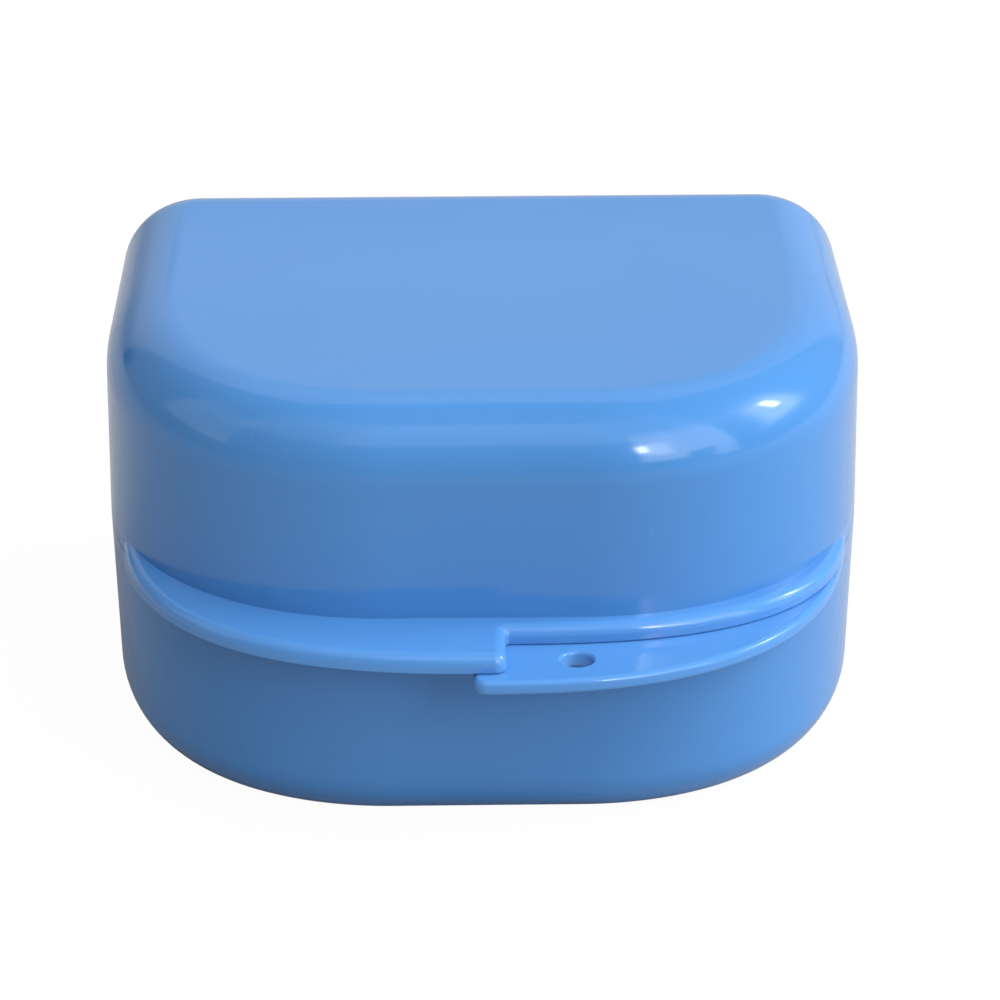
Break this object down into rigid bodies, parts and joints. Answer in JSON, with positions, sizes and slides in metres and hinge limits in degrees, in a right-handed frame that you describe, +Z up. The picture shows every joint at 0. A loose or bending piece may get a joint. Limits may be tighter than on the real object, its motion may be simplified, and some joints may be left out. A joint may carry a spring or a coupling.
{
  "type": "retainer case",
  "caption": "Deep D-shaped hinged case for a dental retainer, with overlapping finger flanges on its front rim and a cord hole.",
  "frame": {"origin": "centre of the flat underside, midway between the body's front and back walls", "axes": "+X to the right seen from the front, +Y to the hinge at the back, +Z up through the lid"},
  "size_m": [0.08, 0.0858, 0.045],
  "materials": {
    "shell_plastic": "smooth glossy injection-moulded polypropylene, sky blue, very slightly translucent",
    "pin_steel": "plain drawn stainless wire with cut ends"
  },
  "bodies": {
    "base": {"base_shell": "shell_plastic", "hinge_pin_left": "pin_steel", "hinge_pin_right": "pin_steel"},
    "lid": {"lid_shell": "shell_plastic"}
  },
  "joints": [
    {"name": "lid_hinge", "type": "hinge", "parent": "base", "child": "lid", "pos_m": [0, 0.038, 0.0215], "axis": [-1, 0, 0], "range_deg": [0, 170]}
  ]
}
